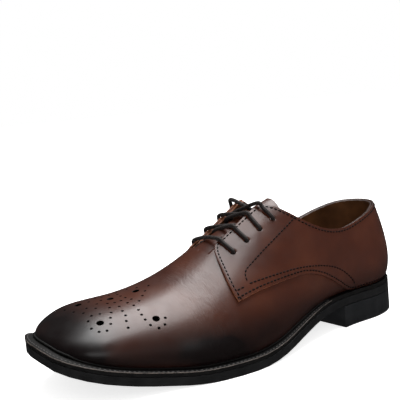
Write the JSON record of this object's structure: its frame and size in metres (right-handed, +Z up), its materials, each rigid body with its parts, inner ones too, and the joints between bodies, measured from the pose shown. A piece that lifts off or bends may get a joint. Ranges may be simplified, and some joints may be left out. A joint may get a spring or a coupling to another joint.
{
  "type": "derby shoe",
  "caption": "Plain-toe leather derby shoe, left foot, with a punched toe pattern, open lacing, a welted sole and a low stacked heel, laced loosely.",
  "frame": {"origin": "middle of the heel's flat tread, on the floor", "axes": "+Z up from the floor; the toe points to -Y; +X is the outer (lateral) side of this left shoe"},
  "size_m": [0.1181, 0.2909, 0.104],
  "materials": {
    "brown_leather": "polished",
    "tan_lining": "matte",
    "black_sole": "satin",
    "black_welt": "satin",
    "waxed_cord": "matte"
  },
  "bodies": {
    "root": {"outsole": "black_sole", "heel": "black_sole", "welt": "black_welt", "insole": "tan_lining", "upper": "brown_leather", "quarter_lateral": "brown_leather", "quarter_medial": "brown_leather", "tongue": "brown_leather", "lace_bar": "waxed_cord", "lace_cross_lower": "waxed_cord", "lace_cross_middle": "waxed_cord", "lace_cross_upper": "waxed_cord"}
  },
  "joints": []
}
